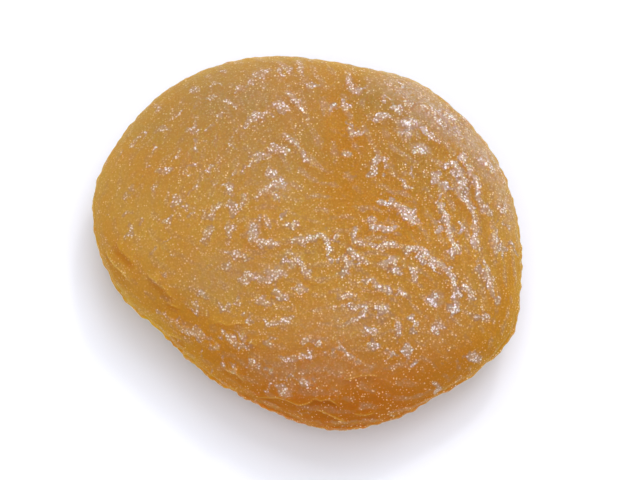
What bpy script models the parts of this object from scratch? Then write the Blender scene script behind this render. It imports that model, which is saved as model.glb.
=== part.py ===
"""A whole dried apricot with its stone squeezed out, lying on its underside.

Metres, +Z up. The broad face is up, the fruit's long way runs along X, and the
mouth that the stone left by runs round the front left edge. The origin is at the
middle of the underside, on the surface that the fruit rests on.
"""

import bmesh
import bpy
import numpy as np

MM = 0.001

# The fruit seen from above: distance from its middle to its edge, round from +X.
EDGE = [
    (0, 19.5), (20, 19.0), (40, 18.3), (58, 17.8), (72, 17.1), (84, 17.1),
    (96, 17.6), (114, 18.7), (132, 19.7), (150, 20.2), (168, 20.6), (182, 19.8),
    (199, 18.0), (211, 16.4), (226, 15.9), (242, 16.0), (256, 16.4), (276, 18.1),
    (294, 18.8), (309, 19.0), (320, 19.9), (334, 20.8), (347, 20.0),
]
CROWN = 6.1 * MM  # from the edge up to the top skin
BELLY = 5.0 * MM  # from the edge down to the under skin
PLUMPNESS = 2.45  # 2 is an ellipsoid, more is a fuller pillow
REST_TRIM = 0.3 * MM  # how far the soft underside has settled flat
REST_REACH = 6.5 * MM  # the wrinkles are pressed out this far round the resting spot

# The edge isn't level: it rises and dips as it goes round.
EDGE_LIFT = [
    (0, 0.5), (45, 1.0), (90, 0.5), (135, -0.1), (180, 0.3), (225, -0.5),
    (270, -0.4), (315, 0.5),
]

# Soft hollows and swellings of the top skin: place, reach and depth.
TOP_HOLLOWS = [
    (3.0, 5.0, 4.6, 0.45), (3.2, 11.5, 3.4, 0.35), (1.0, -3.5, 5.0, 0.45),
    (-9.5, -6.0, 4.0, 0.45), (10.2, 2.8, 3.2, 0.35), (5.5, -12.0, 3.4, 0.3),
    (-3.0, 1.0, 4.0, -0.25), (-12.0, 6.0, 5.0, -0.3), (13.5, -3.0, 3.6, -0.35),
]
UNDER_HOLLOWS = [
    (0.0, 0.0, 9.0, -0.55), (-11.0, 4.5, 3.4, 0.5), (10.5, -5.5, 3.6, 0.55),
    (6.5, 10.0, 3.2, 0.5), (-7.5, -9.5, 3.2, 0.45),
]

# The mouth: a closed slit between two lips, from one bearing round to another.
MOUTH_FROM, MOUTH_TO = 196, 304  # degrees
MOUTH_CLOSES = 14  # degrees over which each end of it runs out
MOUTH_DROP = 1.5 * MM  # below the edge line
MOUTH_WAVES = [(9, 0.35 * MM), (23, 0.2 * MM)]  # waves all round the fruit, and their height
MOUTH_DEPTH = 1.0 * MM
MOUTH_WIDTH = 0.42 * MM
LIP_SPREAD = 1.5 * MM  # how far the lower lip's bulge reaches below the slit
LIP_PROUD = [(196, 0.1), (206, 0.3), (222, 0.2), (246, 0.2), (264, 0.35), (280, 0.4), (304, 0.1)]

# Folds that stand up from the top skin: height, width and the line of the crest.
RIDGES = [
    (0.26, 0.74, [(-5.7, 13.3), (-5.5, 14.2), (-4.6, 14.8), (-3.6, 14.5)]),
    (0.22, 0.67, [(-3.5, 13.2), (-2.3, 12.7), (-1.3, 11.9), (-0.6, 10.5)]),
    (0.24, 0.74, [(-5.7, 9.1), (-5.4, 9.9), (-4.5, 10.4), (-3.5, 10.0)]),
    (0.20, 0.74, [(-4.0, 11.8), (-3.0, 11.3), (-2.2, 10.6)]),
    (0.20, 0.67, [(-3.6, 9.0), (-2.4, 8.2), (-1.5, 7.4), (-0.5, 6.3), (0.5, 5.2)]),
    (0.24, 0.74, [(-5.7, 4.9), (-5.4, 5.8), (-4.5, 6.3), (-3.6, 6.0)]),
    (0.22, 0.77, [(-4.0, 7.4), (-3.0, 7.0), (-2.3, 6.3)]),
    (0.30, 0.80, [(-4.8, 2.2), (-4.3, 2.9), (-3.5, 3.2), (-2.8, 3.8), (-2.2, 3.0)]),
    (0.32, 0.77, [(-5.9, -0.1), (-5.4, -1.3), (-4.4, -1.9), (-3.3, -2.0), (-2.1, -1.6)]),
    (0.30, 0.70, [(-5.0, 0.4), (-4.2, 0.5), (-3.5, -0.6)]),
    (0.32, 0.74, [(-1.8, -1.6), (-0.9, -1.9), (0.8, -1.3), (1.6, -1.9), (1.8, -3.7)]),
    (0.32, 0.80, [(-2.5, -3.5), (-1.7, -3.1), (-0.9, -3.5), (-0.3, -4.6), (0.4, -5.3)]),
    (0.34, 0.96, [(-6.5, -5.2), (-5.3, -5.6), (-4.1, -5.4), (-3.1, -4.9), (-2.0, -4.8)]),
    (0.24, 0.67, [(-7.4, -2.8), (-6.5, -3.0), (-5.0, -3.5)]),
    (0.24, 0.74, [(-4.5, -9.8), (-3.2, -9.7), (-2.2, -9.4), (-1.4, -9.8)]),
    (0.32, 0.80, [(4.0, 0.1), (3.9, -1.1), (4.8, -1.9), (6.1, -2.4), (8.4, -2.0)]),
    (0.30, 0.80, [(5.2, -0.2), (6.4, -0.6), (8.7, -0.8)]),
    (0.34, 0.99, [(7.4, 2.0), (8.6, 0.9), (9.9, -0.2)]),
    (0.26, 0.80, [(5.6, 4.3), (5.6, 5.7), (6.3, 6.3), (7.0, 5.4)]),
    (0.28, 0.70, [(3.3, -2.3), (4.3, -3.1), (5.6, -4.4)]),
    (0.28, 0.74, [(6.1, -4.3), (7.0, -3.7), (8.0, -3.8), (9.1, -4.6), (9.7, -5.9)]),
    (0.28, 0.74, [(4.9, -5.9), (5.7, -5.6), (6.8, -6.3), (7.4, -7.1)]),
    (0.26, 0.80, [(3.1, -8.0), (4.9, -8.1), (4.6, -9.0), (3.1, -9.4)]),
    (0.24, 0.74, [(8.0, -8.9), (8.0, -10.6), (8.6, -12.0), (9.4, -12.5)]),
    (0.30, 0.77, [(9.3, -1.1), (10.3, -3.1), (12.0, -4.3), (13.2, -6.0), (12.9, -8.4)]),
    (0.36, 1.12, [(11.0, -7.0), (11.6, -7.4)]),
    (0.34, 0.83, [(12.2, 5.3), (13.3, 5.6), (14.0, 4.2), (13.9, 3.0), (14.8, 1.7), (15.2, 0.2)]),
    (0.34, 0.80, [(15.2, 0.2), (15.2, -1.4), (15.3, -2.9), (15.1, -4.5)]),
    (0.32, 0.77, [(14.2, 6.4), (15.2, 4.8), (15.5, 3.0), (16.4, 1.2)]),
    (0.28, 0.74, [(11.4, 4.1), (11.9, 2.8), (12.2, 1.0), (12.6, -0.8)]),
    (0.28, 0.74, [(17.3, 0.4), (16.9, -1.0), (17.3, -2.9)]),
    (0.28, 0.70, [(15.8, -2.8), (16.0, -4.0), (16.6, -6.0), (16.9, -7.1)]),
    (0.36, 0.96, [(8.3, 9.8), (9.2, 10.1), (10.1, 9.8)]),
    (0.34, 0.90, [(8.4, 8.8), (9.5, 9.0), (11.0, 8.7), (11.9, 8.1)]),
    (0.32, 0.90, [(9.4, 7.2), (10.9, 6.9)]),
    (0.30, 0.83, [(10.2, 11.6), (11.4, 11.0), (12.4, 9.3)]),
    (0.28, 0.74, [(3.5, 15.6), (3.7, 14.4), (4.3, 13.4), (5.2, 13.6)]),
    (0.22, 0.80, [(3.5, 10.1), (3.7, 9.2), (5.0, 8.8)]),
    (0.34, 0.74, [(-13.9, -7.8), (-12.6, -8.4), (-10.9, -9.6), (-9.3, -10.8), (-8.0, -11.4)]),
    (0.26, 0.67, [(-8.0, -10.3), (-7.0, -11.0), (-6.2, -11.8)]),
    (0.24, 0.74, [(3.3, -12.6), (4.2, -13.1), (5.2, -13.8)]),
    (0.26, 0.70, [(-3.0, -15.0), (-2.2, -15.6), (-1.0, -15.8)]),
    (0.20, 0.70, [(-2.9, -12.9), (-1.6, -12.8), (-0.1, -12.4)]),
]

# Creases that cut into the top skin, measured like the ridges.
CREASES = [
    (0.32, 2.40, [(3.6, 16.8), (2.6, 12.0), (3.0, 7.5), (3.4, 3.4), (3.2, 0.5)]),
    (0.22, 0.80, [(-5.0, -6.5), (-2.0, -7.8), (1.5, -6.2)]),
    (0.22, 0.64, [(18.3, -2.5), (18.9, -3.2)]),
]

# Lips where the top skin folds over what lies outside it: height, how far the fold reaches
# back over the top, and its line, which keeps the fruit's middle on its left.
LEDGES = [
    (0.20, 1.6, [(-18.9, -1.0), (-18.3, -2.8), (-17.4, -3.8), (-16.2, -5.2)]),
    (0.20, 1.4, [(-17.9, -1.0), (-17.3, -2.2), (-16.4, -3.1), (-15.9, -3.2)]),
    (0.20, 1.4, [(-14.8, -4.6), (-13.4, -5.8), (-12.3, -6.6)]),
    (0.18, 1.2, [(-9.4, -9.0), (-7.5, -9.3), (-5.6, -9.4)]),
    (0.20, 1.2, [(-13.2, -9.2), (-12.2, -9.8), (-11.4, -10.2)]),
    (0.18, 1.2, [(-8.2, -12.5), (-6.8, -13.3), (-5.9, -14.3)]),
    (0.30, 1.6, [(-6.1, -14.5), (-4.1, -15.4), (-1.7, -16.0), (0.0, -16.2), (1.0, -16.1), (2.1, -16.2),
                 (3.4, -17.0)]),
    (0.20, 0.9, [(0.4, -16.6), (1.3, -17.0), (2.8, -17.6), (3.6, -17.8)]),
    (0.18, 1.2, [(2.7, -14.5), (4.5, -14.1), (6.5, -14.1)]),
]
LEDGE_TURN = 0.5 * MM  # across the line, from outside the lip up on to it

# Wrinkle country: place on the fruit, then the wrinkles' bearing in degrees from +X,
# their spacing, their height and how far the country reaches. Last are top or under.
WRINKLES = [
    (-13.0, 6.0, 70, 1.7, 0.10, 6.0, 1), (-12.0, -3.0, 150, 1.9, 0.07, 4.5, 1),
    (-4.5, 10.0, 140, 2.0, 0.12, 4.0, 1), (3.0, 9.0, 90, 2.2, 0.05, 3.0, 1),
    (-3.0, -3.0, 10, 1.9, 0.14, 4.5, 1), (6.0, -2.0, 170, 1.9, 0.15, 4.0, 1),
    (10.5, 7.5, 150, 1.9, 0.17, 3.5, 1), (15.0, 0.0, 93, 1.9, 0.18, 4.0, 1),
    (12.0, -7.0, 120, 1.8, 0.14, 3.5, 1), (4.0, -9.0, 5, 1.9, 0.13, 4.0, 1),
    (-6.0, -10.0, 155, 2.0, 0.11, 3.5, 1), (2.0, -15.5, 5, 2.0, 0.08, 4.0, 1),
    (-9.0, 0.0, 100, 2.4, 0.20, 8.0, -1), (8.0, 2.0, 60, 2.4, 0.20, 8.0, -1),
    (0.0, -10.0, 20, 2.3, 0.20, 6.0, -1), (0.0, 11.0, 170, 2.3, 0.20, 6.0, -1),
]
WRINKLE_PATCHES = 1300
WRINKLE_SEED = 7

# The mesh: squares across the broad faces and down the edge, before it is thinned.
SQUARES_ACROSS, SQUARES_DOWN = 88, 26
TRIANGLES = 11000

SKIN_COLOUR = (0.52, 0.26, 0.055, 1.0)
SKIN_ROUGHNESS = 0.38


def clear_scene():
    for obj in list(bpy.data.objects):
        bpy.data.objects.remove(obj)


def new_collection(name):
    made = bpy.data.collections.new(name)
    bpy.context.scene.collection.children.link(made)
    return made


def skin_material():
    made = bpy.data.materials.new("apricot_skin")
    made.use_nodes = True
    shader = made.node_tree.nodes["Principled BSDF"]
    shader.inputs["Base Color"].default_value = SKIN_COLOUR
    shader.inputs["Roughness"].default_value = SKIN_ROUGHNESS
    shader.inputs["Metallic"].default_value = 0.0
    shader.inputs["Subsurface Weight"].default_value = 0.3
    shader.inputs["Subsurface Scale"].default_value = 2 * MM
    made.diffuse_color = SKIN_COLOUR
    return made


def around(table, angle):
    """The smooth closed curve through (degrees, millimetres) pairs, in metres."""
    at = np.radians([row[0] for row in table])
    value = np.array([row[1] for row in table]) * MM
    at = np.concatenate([at - 2 * np.pi, at, at + 2 * np.pi])
    value = np.tile(value, 3)
    slope = np.gradient(value, at)
    i = np.clip(np.searchsorted(at, angle) - 1, 0, len(at) - 2)
    gap = at[i + 1] - at[i]
    t = (angle - at[i]) / gap
    start = (2 * t**3 - 3 * t**2 + 1) * value[i] + (t**3 - 2 * t**2 + t) * gap * slope[i]
    end = (3 * t**2 - 2 * t**3) * value[i + 1] + (t**3 - t**2) * gap * slope[i + 1]
    return start + end


def smooth_step(x):
    x = np.clip(x, 0, 1)
    return x * x * (3 - 2 * x)


def box_cage():
    """A box of square faces, with fewer rows down its sides than across its top."""
    mesh = bmesh.new()
    bmesh.ops.create_cube(mesh, size=2)
    upright = [e for e in mesh.edges if abs(e.verts[0].co.z - e.verts[1].co.z) > 1]
    bmesh.ops.subdivide_edges(mesh, edges=upright, cuts=SQUARES_DOWN - 1, use_grid_fill=True)
    level = [e for e in mesh.edges if abs(e.verts[0].co.z - e.verts[1].co.z) < 0.01]
    bmesh.ops.subdivide_edges(mesh, edges=level, cuts=SQUARES_ACROSS - 1, use_grid_fill=True)
    return mesh


def round_off(cube):
    """Points of a cube moved out to a ball, evenly spread."""
    x2, y2, z2 = (cube**2).T
    return cube * np.sqrt(
        np.stack([
            1 - y2 / 2 - z2 / 2 + y2 * z2 / 3,
            1 - z2 / 2 - x2 / 2 + z2 * x2 / 3,
            1 - x2 / 2 - y2 / 2 + x2 * y2 / 3,
        ], axis=1)
    )


def pillow(ball):
    """The plain fruit: directions from its middle turned into points of its skin."""
    across = np.hypot(ball[:, 0], ball[:, 1])
    angle = np.arctan2(ball[:, 1], ball[:, 0]) % (2 * np.pi)
    fullness = (across**PLUMPNESS + np.abs(ball[:, 2]) ** PLUMPNESS) ** (-1 / PLUMPNESS)
    reach = across * fullness
    rise = ball[:, 2] * fullness
    edge = around(EDGE, angle)
    height = np.where(rise > 0, CROWN, BELLY) * rise + around(EDGE_LIFT, angle) * reach**2
    return np.stack([edge * reach * np.cos(angle), edge * reach * np.sin(angle), height], 1)


def top_point(x, y):
    """The point of the plain fruit's top skin above (x, y)."""
    angle = np.arctan2(y, x) % (2 * np.pi)
    reach = np.minimum(np.hypot(x, y) / around(EDGE, angle), 0.995)
    rise = (1 - reach**PLUMPNESS) ** (1 / PLUMPNESS)
    return np.stack([x, y, CROWN * rise + around(EDGE_LIFT, angle) * reach**2], 1)


def smooth_line(points, steps=8):
    """A curve through points given in millimetres, laid on the top skin."""
    p = np.array(points) * MM
    p = np.concatenate([[2 * p[0] - p[1]], p, [2 * p[-1] - p[-2]]])
    t = np.linspace(0, 1, steps, endpoint=False)[:, None]
    line = [
        0.5 * (2 * b + (c - a) * t + (2 * a - 5 * b + 4 * c - d) * t**2
               + (3 * b - a - 3 * c + d) * t**3)
        for a, b, c, d in zip(p, p[1:], p[2:], p[3:])
    ]
    line = np.concatenate(line + [p[-2:-1]])
    return top_point(line[:, 0], line[:, 1])


def nearest_on_line(points, line, reach):
    """Points near a line: which, how far away, how far along it, and on which side of it."""
    low, high = line.min(0) - reach, line.max(0) + reach
    near = np.flatnonzero(((points > low) & (points < high)).all(1))
    start, run = line[:-1], np.diff(line, axis=0)
    offset = points[near, None, :] - start
    share = np.clip((offset * run).sum(2) / (run**2).sum(1), 0, 1)
    gap2 = ((offset - share[..., None] * run) ** 2).sum(2)
    nearest = gap2.argmin(1)
    rows = np.arange(len(near))
    place = (nearest + share[rows, nearest]) / len(run)
    left = run[nearest, 0] * offset[rows, nearest, 1] - run[nearest, 1] * offset[rows, nearest, 0]
    return near, np.sqrt(gap2[rows, nearest]), place, np.sign(left)


def line_bump(points, line, width):
    """1 on the line, falling to 0 beside it and fading out towards its two ends."""
    bump = np.zeros(len(points))
    near, gap, place, _ = nearest_on_line(points, line, 3 * width)
    fade = 0.35 + 0.65 * smooth_step(np.minimum(place, 1 - place) / 0.25)
    bump[near] = fade * np.exp(-1.4 * (gap / width) ** 2)
    return bump


def ledge(points, line, reach):
    """0 outside the line, 1 just inside it, and a slow fall from there over the top skin."""
    rise = np.zeros(len(points))
    near, gap, place, side = nearest_on_line(points, line, 3 * reach)
    inward = gap * side
    fade = smooth_step(np.minimum(place, 1 - place) / 0.2)
    over = smooth_step(inward / LEDGE_TURN + 0.5)
    rise[near] = fade * over * np.exp(-((np.maximum(inward, 0) / reach) ** 2))
    return rise


def hollows(points, table):
    depth = np.zeros(len(points))
    for x, y, reach, most in table:
        gap2 = (points[:, 0] - x * MM) ** 2 + (points[:, 1] - y * MM) ** 2
        depth += most * MM * np.exp(-gap2 / (2 * (reach * MM / 1.6) ** 2))
    return depth


def mouth(points):
    """How far the skin moves outwards round the mouth: in at the slit, out below it."""
    turn = np.arctan2(points[:, 1], points[:, 0])
    bearing = np.degrees(turn) % 360
    open_here = smooth_step(np.minimum(bearing - MOUTH_FROM, MOUTH_TO - bearing) / MOUTH_CLOSES)
    waver = sum(height * np.sin(turn * count) for count, height in MOUTH_WAVES)
    above = points[:, 2] - (around(EDGE_LIFT, turn % (2 * np.pi)) - MOUTH_DROP + waver)
    share = np.hypot(points[:, 0], points[:, 1]) / around(EDGE, turn % (2 * np.pi))
    near_edge = smooth_step((share - 0.72) / 0.2)
    slit = -MOUTH_DEPTH * np.exp(-((above / MOUTH_WIDTH) ** 2))
    bearings, prouds = zip(*LIP_PROUD)
    below = np.maximum(-above, 0) / LIP_SPREAD
    lip = np.interp(bearing, bearings, prouds) * MM
    lip *= smooth_step(below * 2) * np.exp(-((below - 0.5) ** 2) * 1.2)
    return open_here * near_edge * (slit + lip)


def country(centre, side):
    """Bearing, spacing and height of the wrinkles at a point, blended from its surroundings."""
    rows = np.array([row for row in WRINKLES if row[6] == side])
    gap2 = (rows[:, 0] * MM - centre[0]) ** 2 + (rows[:, 1] * MM - centre[1]) ** 2
    share = np.exp(-gap2 / (2 * (rows[:, 5] * MM) ** 2)) + 1e-9
    share /= share.sum()
    double = np.radians(rows[:, 2] * 2)
    bearing = np.arctan2((share * np.sin(double)).sum(), (share * np.cos(double)).sum()) / 2
    return bearing, (share * rows[:, 3]).sum() * MM, (share * rows[:, 4]).sum() * MM


def wrinkles(points, ball, normals):
    """Shrunken skin: many small patches of parallel folds, each along its country's bearing."""
    rng = np.random.default_rng(WRINKLE_SEED)
    wave, cover, size = (np.zeros(len(points)) for _ in range(3))
    step = np.pi * (3 - np.sqrt(5))
    for k in range(WRINKLE_PATCHES):
        level = 1 - (2 * k + 1) / WRINKLE_PATCHES
        flat = np.sqrt(1 - level**2)
        middle = int(np.argmax(ball @ np.array([flat * np.cos(k * step), flat * np.sin(k * step), level])))
        centre, normal = points[middle], normals[middle]
        bearing, spacing, height = country(centre, 1 if normal[2] > 0 else -1)
        bearing += rng.normal(0, 0.35)
        phase = rng.uniform(0, 2 * np.pi)
        along = np.array([np.cos(bearing), np.sin(bearing), 0.0])
        across = np.cross(normal, along)
        across /= np.linalg.norm(across) + 1e-12
        reach = 0.75 * spacing
        near = np.flatnonzero((np.abs(points - centre) < 2.6 * reach).all(1))
        offset = points[near] - centre
        weight = np.exp(-(offset**2).sum(1) / (2 * reach**2))
        wave[near] += weight * np.cos(2 * np.pi / spacing * (offset @ across) + phase)
        cover[near] += weight**2
        size[near] += weight**2 * height
    wave /= np.sqrt(cover / 2) + 1e-9
    crest = 1 / (1 + np.exp(-2.2 * wave))
    from_rest = np.linalg.norm(points[:, :2], axis=1) / REST_REACH
    pressed = np.where(ball[:, 2] < 0, smooth_step(from_rest - 0.35), 1)
    return pressed * size / (cover + 1e-12) * 2 * (crest**1.4 - 0.4)


def shape_skin(mesh):
    """Moves the cage's points on to the fruit's skin, and gives the mesh its folds."""
    mesh.verts.ensure_lookup_table()
    cube = np.array([v.co for v in mesh.verts])
    ball = round_off(cube)
    points = pillow(ball)
    top = smooth_step(ball[:, 2] / 0.25)
    under = smooth_step(-ball[:, 2] / 0.25)
    points[:, 2] += under * hollows(points, UNDER_HOLLOWS) - top * hollows(points, TOP_HOLLOWS)
    put(mesh, points)
    normals = np.array([v.normal for v in mesh.verts])
    lift = mouth(points)
    plain = top_point(points[:, 0], points[:, 1])
    on_top = np.where(top[:, None] > 0, plain, points + 1)
    for height, width, line in RIDGES:
        lift += height * MM * top * line_bump(on_top, smooth_line(line), width * MM)
    for depth, width, line in CREASES:
        lift -= depth * MM * top * line_bump(on_top, smooth_line(line), width * MM)
    for height, reach, line in LEDGES:
        lift += height * MM * top * ledge(on_top, smooth_line(line), reach * MM)
    lift += wrinkles(points, ball, normals)
    put(mesh, points + normals * lift[:, None])


def put(mesh, points):
    for vertex, point in zip(mesh.verts, points):
        vertex.co = point
    mesh.normal_update()


def settle(mesh):
    """Puts the origin under the fruit's middle, at the height where its underside is flat."""
    points = np.array([v.co for v in mesh.verts])
    middle = (points.min(0) + points.max(0)) / 2
    low = points[:, 2].min() + REST_TRIM
    put(mesh, points - np.array([middle[0], middle[1], low]))


def apricot(collection):
    cage = box_cage()
    shape_skin(cage)
    settle(cage)
    mesh = bpy.data.meshes.new("dried_apricot")
    cage.to_mesh(mesh)
    faces = 2 * len(cage.faces)
    cage.free()
    mesh.shade_smooth()
    mesh.materials.append(skin_material())
    made = bpy.data.objects.new("dried_apricot", mesh)
    collection.objects.link(made)
    thin = made.modifiers.new("thin_faces", "DECIMATE")
    thin.ratio = TRIANGLES / faces
    return made


def press_flat(fruit, cutters):
    """Takes off what would lie under the surface, which leaves the flat spots that it rests on."""
    bpy.ops.mesh.primitive_cube_add(size=60 * MM, location=(0, 0, -30 * MM))
    surface = bpy.context.object
    surface.name = "resting_surface"
    surface.hide_render = True
    surface.display_type = "WIRE"
    for collection in surface.users_collection:
        collection.objects.unlink(surface)
    cutters.objects.link(surface)
    cut = fruit.modifiers.new("rests_flat", "BOOLEAN")
    cut.operation = "DIFFERENCE"
    cut.object = surface


def main():
    clear_scene()
    fruit = apricot(new_collection("dried_apricot"))
    press_flat(fruit, new_collection("cutters"))


main()
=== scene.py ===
import math

import bpy
import numpy as np
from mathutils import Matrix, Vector


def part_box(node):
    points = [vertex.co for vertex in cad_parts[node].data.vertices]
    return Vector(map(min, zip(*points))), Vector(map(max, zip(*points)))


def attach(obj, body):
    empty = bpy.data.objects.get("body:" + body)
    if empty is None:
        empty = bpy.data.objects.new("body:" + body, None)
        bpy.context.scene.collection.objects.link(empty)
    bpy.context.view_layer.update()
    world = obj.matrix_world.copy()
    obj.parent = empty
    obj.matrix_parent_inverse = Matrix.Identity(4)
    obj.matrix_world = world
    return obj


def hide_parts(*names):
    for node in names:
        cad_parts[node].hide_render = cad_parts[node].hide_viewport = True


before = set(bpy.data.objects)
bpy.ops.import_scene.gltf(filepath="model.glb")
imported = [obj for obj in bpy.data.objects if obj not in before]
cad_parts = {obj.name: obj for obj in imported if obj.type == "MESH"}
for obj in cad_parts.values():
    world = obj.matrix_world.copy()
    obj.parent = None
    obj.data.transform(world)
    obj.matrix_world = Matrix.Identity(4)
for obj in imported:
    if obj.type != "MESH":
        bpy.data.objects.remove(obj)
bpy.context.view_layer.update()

# A whole dried apricot with its stone squeezed out, lying on its underside.
# Lengths in the dictionaries are millimetres unless a note says otherwise.

mm = 0.001


# The fruit

apricot = {
    "node": "dried_apricot",
    "firstCuts": 7,         # the cube's edge is cut in 8,
    "secondCuts": 15,       # and each of those in 16
    "topShare": 0.66,       # under 1 crowds the mesh towards the top skin
    "crown": 6.1,           # from the edge up to the top skin
    "belly": 5,             # from the edge down to the under skin
    "plumpness": 2.45,      # 2 is an ellipsoid, more is a fuller pillow
    "edgeFade": 0.25,       # the share of the height over which top and underside part
    # small scallops round the edge: their height, and how many broad and narrow ones there are
    "frill": 0.05,
    "frillCounts": (61, 113),
    # bands round the edge: their drop below it and their spread, as shares of the height
    "frillBand": (0.02, 0.2),
    "edgeBand": (0.05, 0.35),
    "edgeTint": 0.75,       # how far the edge takes its own colour
    "glossPower": 1.8,      # more keeps the gloss closer to a fold's crest
    "patchRise": 0.06,      # how far each glossy patch stands up
    "patchSoftness": 0.5,   # the share of a patch's reach over which it fades
    "sheenAndSpotSoftness": 0.95,
    "stray": 0.2,           # how far the patches' outlines stray
    "restTrim": 0.3,        # how far the soft underside has settled flat
    "restReach": 6.5,       # wrinkles are pressed out for about this far round the resting spot,
    "restFade": 0.35,       # and wholly within this share of it
    "foldSpan": 0.3,        # the height that counts as a full fold for the colours
    "quiet": 0.7,           # wrinkles are this much weaker on a fold
    "quietHeight": 0.2,     # that stands as high as this
    # degrees round from +X, then the distance from the middle to the edge
    "edge": [
        (0, 19.5), (20, 19), (40, 18.3), (58, 17.8), (72, 17.1), (84, 17.1),
        (96, 17.6), (114, 18.7), (132, 19.7), (150, 20.2), (168, 20.6), (182, 19.8),
        (199, 18), (211, 16.4), (226, 15.9), (242, 16), (256, 16.4), (276, 18.1),
        (294, 18.8), (309, 19), (320, 19.9), (334, 20.8), (347, 20),
    ],
    # the edge rises and dips as it goes round
    "edgeLift": [
        (0, 0.5), (45, 1), (90, 0.5), (135, -0.1), (180, 0.3), (225, -0.5),
        (270, -0.4), (315, 0.5),
    ],
    # hollows: x, y, reach, depth; a negative depth is a swelling
    "topHollows": [
        (3, 5, 4.6, 0.45), (3.2, 11.5, 3.4, 0.35), (1, -3.5, 5, 0.45),
        (-9.5, -6, 4, 0.45), (10.2, 2.8, 3.2, 0.35), (5.5, -12, 3.4, 0.3),
        (-3, 1, 4, -0.25), (-12, 6, 5, -0.3), (13.5, -3, 3.6, -0.35),
    ],
    "underHollows": [
        (0, 0, 9, -0.55), (-11, 4.5, 3.4, 0.5), (10.5, -5.5, 3.6, 0.55),
        (6.5, 10, 3.2, 0.5), (-7.5, -9.5, 3.2, 0.45),
    ],
}

# The closed mouth that the stone left by, round the front left edge
mouth = {
    "from": 196,            # degrees
    "to": 304,
    "drop": 1.5,            # below the edge line
    "depth": 0.95,
    "width": 0.34,
    "lipSpread": 1.5,
    "endFade": 14,          # degrees over which it closes at each end
    "wavers": [(0.35, 9), (0.2, 23)],  # how far it sways, and how often in a whole turn
    "fromShare": 0.72,      # of the way out from the middle, where it begins,
    "shareFade": 0.2,       # and over which it opens
    # the orange of the flesh inside shows round it: how far up, and how strongly
    "stainUpTo": [(196, 1.2), (240, 1.2), (252, 4.4), (284, 4.4), (304, 1.2)],
    "stain": [(196, 0.5), (235, 0.5), (252, 0.9), (284, 0.9), (304, 0.5)],
    "stainFade": 1.6,
    "stainDrop": 2.6,       # how far down it reaches
    "lipProud": [(196, 0.1), (206, 0.3), (222, 0.2), (246, 0.2), (264, 0.35), (280, 0.4), (304, 0.1)],
}

foldForm = {
    "endHeight": 0.4,       # the share of its height that a fold has at its two ends
    "endShare": 0.25,       # the share of its length over which it gains the rest
    "steepness": 1.4,
}

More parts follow.
